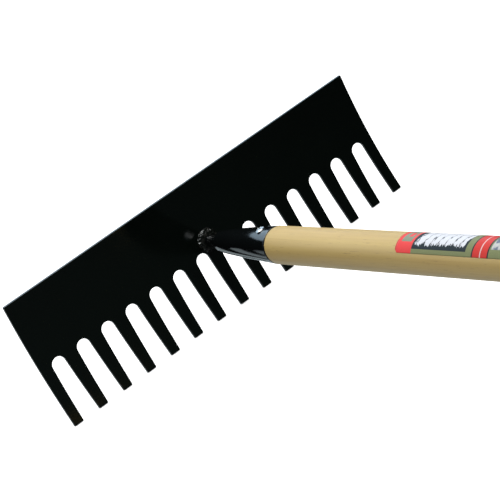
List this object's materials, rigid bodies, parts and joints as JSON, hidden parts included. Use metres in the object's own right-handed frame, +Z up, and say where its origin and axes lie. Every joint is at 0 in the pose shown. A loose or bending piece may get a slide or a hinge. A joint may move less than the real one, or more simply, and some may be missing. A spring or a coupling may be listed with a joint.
{
  "type": "levelling rake",
  "caption": "Levelling rake: bowed steel comb plate with a straight back edge, welded to a tapered socket on a long round wooden handle.",
  "frame": {"origin": "centre of the bounding box at floor level, with the rake set down on its tooth tips and its butt", "axes": "+Z up from the floor; +X along the plate's width; +Y towards the plate, so the handle runs away from it along -Y"},
  "size_m": [0.4, 1.263, 0.1244],
  "materials": {
    "head_enamel": "smooth gloss black enamel on sheet steel",
    "socket_enamel": "gloss black enamel on a drawn steel socket",
    "weld_enamel": "gloss black enamel over a rippled weld bead",
    "screw_steel": "bright zinc-plated steel, lightly worn",
    "handle_wood": "pale straight-grained hardwood under thin satin varnish",
    "label_film": "printed plastic film with plain colour blocks and no lettering"
  },
  "bodies": {
    "root": {"rake_head": "head_enamel", "socket": "socket_enamel", "weld_bead": "weld_enamel", "fixing_screw": "screw_steel", "handle": "handle_wood", "label": "label_film"}
  },
  "joints": []
}
